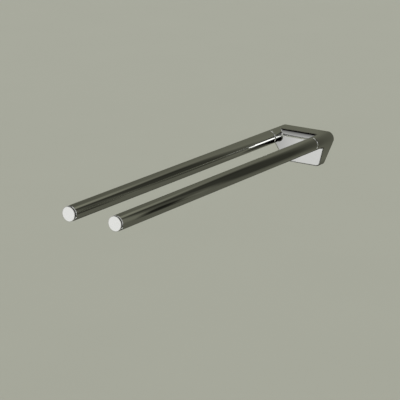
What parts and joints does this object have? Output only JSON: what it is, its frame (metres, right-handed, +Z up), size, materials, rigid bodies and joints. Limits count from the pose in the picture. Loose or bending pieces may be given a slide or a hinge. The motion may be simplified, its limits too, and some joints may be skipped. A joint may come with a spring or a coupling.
{
  "type": "wall towel rail with two fixed arms",
  "caption": "Wall towel rail: a chrome bracket with a sloped face carries parallel round arms that stand straight out and end in flat discs.",
  "frame": {"origin": "midway between the two wall screw holes, on the wall plane", "axes": "+Y into the wall, the arms run along -Y, +X to the right as seen from the room, +Z up"},
  "size_m": [0.0812, 0.463, 0.0455],
  "materials": {
    "chrome": "polished",
    "plate": "zinc plated",
    "steel": "zinc plated",
    "brass": "machined",
    "dark_ring": "matte"
  },
  "bodies": {
    "root": {"bracket_body": "chrome", "wall_plate": "plate", "left_clamp_screw": "steel", "right_clamp_screw": "steel", "left_arm_tube": "chrome", "right_arm_tube": "chrome", "left_root_plug": "brass", "right_root_plug": "brass", "left_root_ring": "dark_ring", "right_root_ring": "dark_ring", "left_arm_screw": "steel", "right_arm_screw": "steel", "left_spring_washer": "steel", "right_spring_washer": "steel", "left_flat_washer": "steel", "right_flat_washer": "steel", "left_end_cap": "chrome", "right_end_cap": "chrome", "left_cap_ring": "dark_ring", "right_cap_ring": "dark_ring"}
  },
  "joints": []
}
